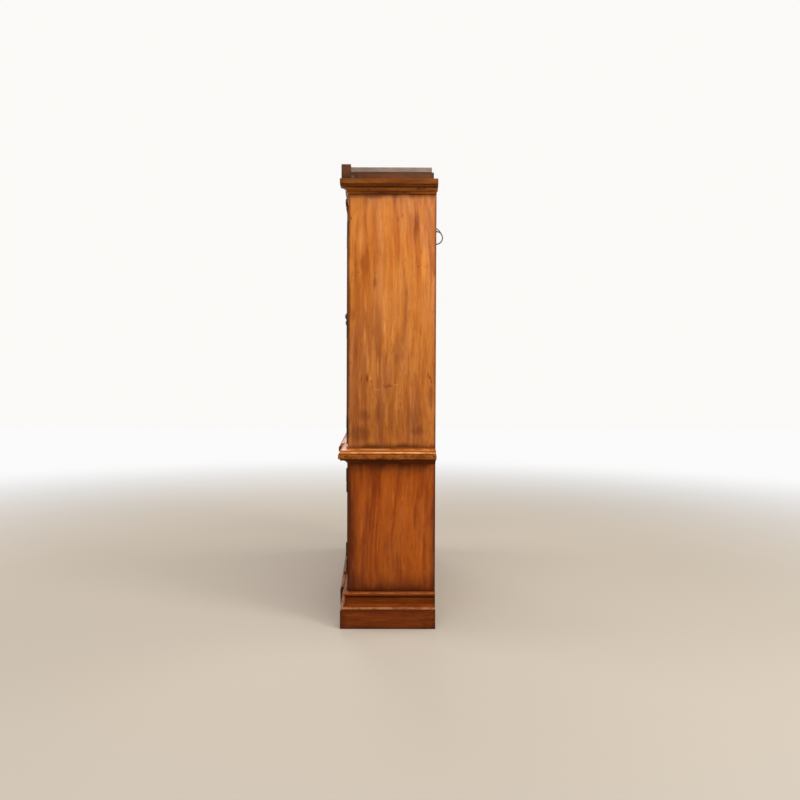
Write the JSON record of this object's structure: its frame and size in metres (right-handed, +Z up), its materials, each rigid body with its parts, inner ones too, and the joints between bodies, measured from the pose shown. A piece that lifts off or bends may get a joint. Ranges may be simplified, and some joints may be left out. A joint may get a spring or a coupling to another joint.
{
  "type": "breakfront bookcase",
  "caption": "Breakfront bookcase with a raised centre: glazed doors above panelled doors, moulded crown, ledge and plinth.",
  "frame": {"origin": "on the floor under the middle of the bookcase's overall width and depth", "axes": "+X to the right along the front as seen from in front, -Y out of the front, +Z up"},
  "size_m": [1.498, 0.4942, 1.941],
  "materials": {
    "upper_case_wood": "honey brown stain under satin lacquer",
    "lower_case_wood": "red brown stain under satin lacquer",
    "upper_front_wood": "honey brown stain under satin lacquer",
    "lower_front_wood": "red brown stain under satin lacquer",
    "moulding_wood": "red brown stain, rubbed pale on the arrises",
    "crown_wood": "dull brown stain",
    "inside_wood": "thin satin lacquer",
    "glass": "clear",
    "hinge_metal": "dark patina",
    "knob_metal": "dark patina, worn on the rim",
    "catch_metal": "zinc plated",
    "light_can": "satin",
    "cord_sheath": "dull",
    "cord_fittings": "matt"
  },
  "bodies": {
    "cabinet": {"plinth_boards": "lower_case_wood", "plinth_cap": "moulding_wood", "lower_sides": "lower_case_wood", "lower_partitions": "inside_wood", "lower_floor": "inside_wood", "lower_back": "inside_wood", "lower_face_frame": "lower_front_wood", "ledge_board": "moulding_wood", "ledge_cove": "moulding_wood", "foot_moulding": "moulding_wood", "upper_sides": "upper_case_wood", "upper_partitions": "inside_wood", "upper_top": "inside_wood", "upper_back": "inside_wood", "upper_face_frame": "upper_front_wood", "shelves": "inside_wood", "shelf_cleats": "inside_wood", "cornice": "moulding_wood", "bed_mould": "moulding_wood", "corner_blocks": "crown_wood", "blocking_course": "crown_wood", "attic_boards": "crown_wood", "attic_cornice": "crown_wood", "cabinet_light": "light_can", "cord_grommet": "cord_fittings", "cord_lead": "cord_sheath", "cord_coil": "cord_sheath", "cord_tie": "cord_fittings", "plug": "cord_fittings", "hinge_frame_leaves": "hinge_metal", "hinge_pins": "hinge_metal", "door_catches": "catch_metal"},
    "upper_door_1": {"upper_sash_1": "upper_front_wood", "upper_glass_1": "glass", "upper_knob_1": "knob_metal", "upper_leaves_1": "hinge_metal"},
    "upper_door_2": {"upper_sash_2": "upper_front_wood", "upper_glass_2": "glass", "upper_knob_2": "knob_metal", "upper_leaves_2": "hinge_metal"},
    "upper_door_3": {"upper_sash_3": "upper_front_wood", "upper_glass_3": "glass", "upper_knob_3": "knob_metal", "upper_leaves_3": "hinge_metal"},
    "upper_door_4": {"upper_sash_4": "upper_front_wood", "upper_glass_4": "glass", "upper_knob_4": "knob_metal", "upper_leaves_4": "hinge_metal"},
    "lower_door_1": {"lower_frame_1": "lower_front_wood", "lower_panel_1": "lower_front_wood", "lower_fittings_1": "hinge_metal"},
    "lower_door_2": {"lower_frame_2": "lower_front_wood", "lower_panel_2": "lower_front_wood", "lower_fittings_2": "hinge_metal"},
    "lower_door_3": {"lower_frame_3": "lower_front_wood", "lower_panel_3": "lower_front_wood", "lower_fittings_3": "hinge_metal"},
    "lower_door_4": {"lower_frame_4": "lower_front_wood", "lower_panel_4": "lower_front_wood", "lower_fittings_4": "hinge_metal"}
  },
  "joints": [
    {"name": "upper_door_1_hinge", "type": "hinge", "parent": "cabinet", "child": "upper_door_1", "pos_m": [-0.6714, -0.1575, 1.2155], "axis": [0, 0, -1], "range_deg": [0, 110]},
    {"name": "upper_door_2_hinge", "type": "hinge", "parent": "cabinet", "child": "upper_door_2", "pos_m": [-0.3494, -0.1695, 1.2155], "axis": [0, 0, -1], "range_deg": [0, 100]},
    {"name": "upper_door_3_hinge", "type": "hinge", "parent": "cabinet", "child": "upper_door_3", "pos_m": [0.3494, -0.1695, 1.2155], "axis": [0, 0, 1], "range_deg": [0, 100]},
    {"name": "upper_door_4_hinge", "type": "hinge", "parent": "cabinet", "child": "upper_door_4", "pos_m": [0.6714, -0.1575, 1.2155], "axis": [0, 0, 1], "range_deg": [0, 110]},
    {"name": "lower_door_1_hinge", "type": "hinge", "parent": "cabinet", "child": "lower_door_1", "pos_m": [-0.6714, -0.1575, 0.404], "axis": [0, 0, -1], "range_deg": [0, 110]},
    {"name": "lower_door_2_hinge", "type": "hinge", "parent": "cabinet", "child": "lower_door_2", "pos_m": [-0.3494, -0.1695, 0.404], "axis": [0, 0, -1], "range_deg": [0, 100]},
    {"name": "lower_door_3_hinge", "type": "hinge", "parent": "cabinet", "child": "lower_door_3", "pos_m": [0.3494, -0.1695, 0.404], "axis": [0, 0, 1], "range_deg": [0, 100]},
    {"name": "lower_door_4_hinge", "type": "hinge", "parent": "cabinet", "child": "lower_door_4", "pos_m": [0.6714, -0.1575, 0.404], "axis": [0, 0, 1], "range_deg": [0, 110]}
  ]
}
